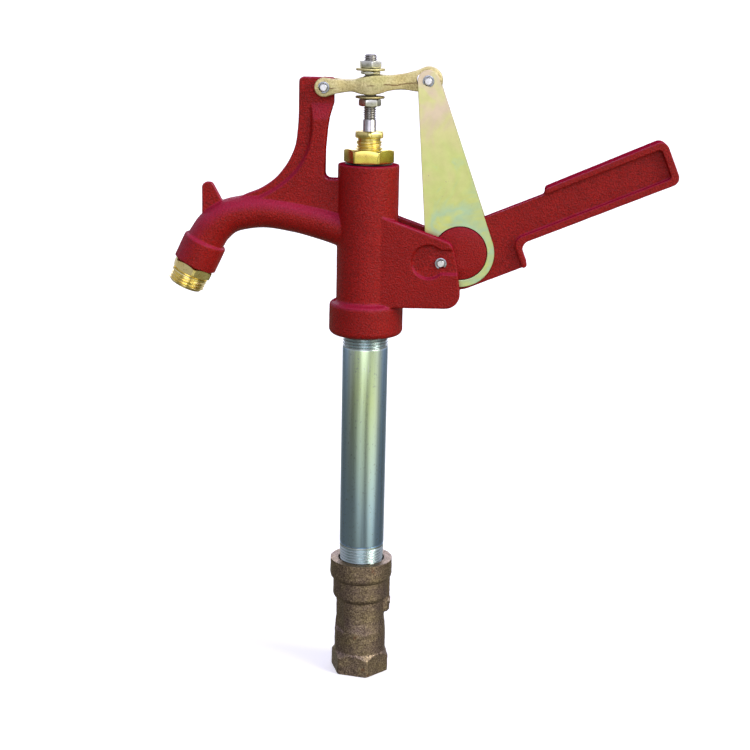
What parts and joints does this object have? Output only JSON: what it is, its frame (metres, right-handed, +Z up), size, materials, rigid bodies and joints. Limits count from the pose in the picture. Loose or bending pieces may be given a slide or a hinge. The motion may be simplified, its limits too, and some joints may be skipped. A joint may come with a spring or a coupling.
{
  "type": "yard hydrant",
  "caption": "Frost-free yard hydrant: red cast head with a bent hose spout, cam lever, link plates and rocker lifting a rod, over a galvanized riser and bronze foot valve.",
  "frame": {"origin": "centre of the inlet face at the foot of the valve body, on the riser's axis", "axes": "+Z up the riser, +X towards the handle, -Y the front, where the lever's clips face"},
  "size_m": [0.3644, 0.0534, 0.4653],
  "materials": {
    "red_paint": "satin, fine orange peel",
    "galvanized": "dull zinc, drawn lengthways",
    "cast_bronze": "rough as cast",
    "brass": "machined, bright",
    "cast_chromate": "rough casting, yellow chromate",
    "plate_chromate": "smooth plate, yellow chromate",
    "zinc_nut": "bright zinc",
    "bare_steel": "drawn bar",
    "black_rubber": "matt",
    "packing_fibre": "graphited fibre"
  },
  "bodies": {
    "head": {"head_casting": "red_paint", "riser_pipe": "galvanized", "valve_body": "cast_bronze", "valve_seat": "brass", "drain_bushing": "brass", "hose_nozzle": "brass", "stuffing_box": "brass", "box_gasket": "black_rubber", "packing_nut": "brass", "packing_ring_1": "packing_fibre", "packing_ring_2": "packing_fibre", "packing_ring_3": "packing_fibre", "gland_follower": "brass", "fulcrum_pin": "bare_steel", "fulcrum_clip_front": "bare_steel", "fulcrum_clip_back": "bare_steel", "handle_pin": "bare_steel", "handle_clip_front": "bare_steel", "handle_clip_back": "bare_steel"},
    "handle": {"handle_lever": "red_paint"},
    "links": {"link_front": "plate_chromate", "link_back": "plate_chromate", "link_pin": "bare_steel", "link_clip_front": "bare_steel", "link_clip_back": "bare_steel"},
    "rocker": {"rocker_arm": "cast_chromate"},
    "rod": {"operating_rod": "bare_steel", "top_jam_nut": "zinc_nut", "top_washer": "plate_chromate", "upper_nut": "zinc_nut", "lower_washer": "plate_chromate", "lower_jam_nut": "zinc_nut", "plunger_body": "brass", "plunger_seal": "black_rubber", "plunger_rubber": "black_rubber", "plunger_washer": "brass", "plunger_nut": "brass"}
  },
  "joints": [
    {"name": "handle_lift", "type": "hinge", "parent": "head", "child": "handle", "pos_m": [0.054, 0, 0.3206], "axis": [0, -1, 0], "range_deg": [-110, 26]},
    {"name": "link_swing", "type": "hinge", "parent": "handle", "child": "links", "pos_m": [0.0674, 0, 0.327], "axis": [0, -1, 0], "range_deg": [-25.5, 107.4]},
    {"name": "rocker_tilt", "type": "hinge", "parent": "head", "child": "rocker", "pos_m": [-0.0321, 0, 0.442], "axis": [0, -1, 0], "range_deg": [-17.9, 4.3]},
    {"name": "rod_lift", "type": "slide", "parent": "head", "child": "rod", "axis": [0, 0, 1], "range_m": [-0.01, 0.0024]}
  ],
  "couplings": [
    {"joint": "link_swing", "follows": "handle_lift", "ratio": -0.97487},
    {"joint": "rocker_tilt", "follows": "handle_lift", "ratio": 0.16125},
    {"joint": "rod_lift", "follows": "handle_lift", "m_per_rad": 0.005176}
  ]
}
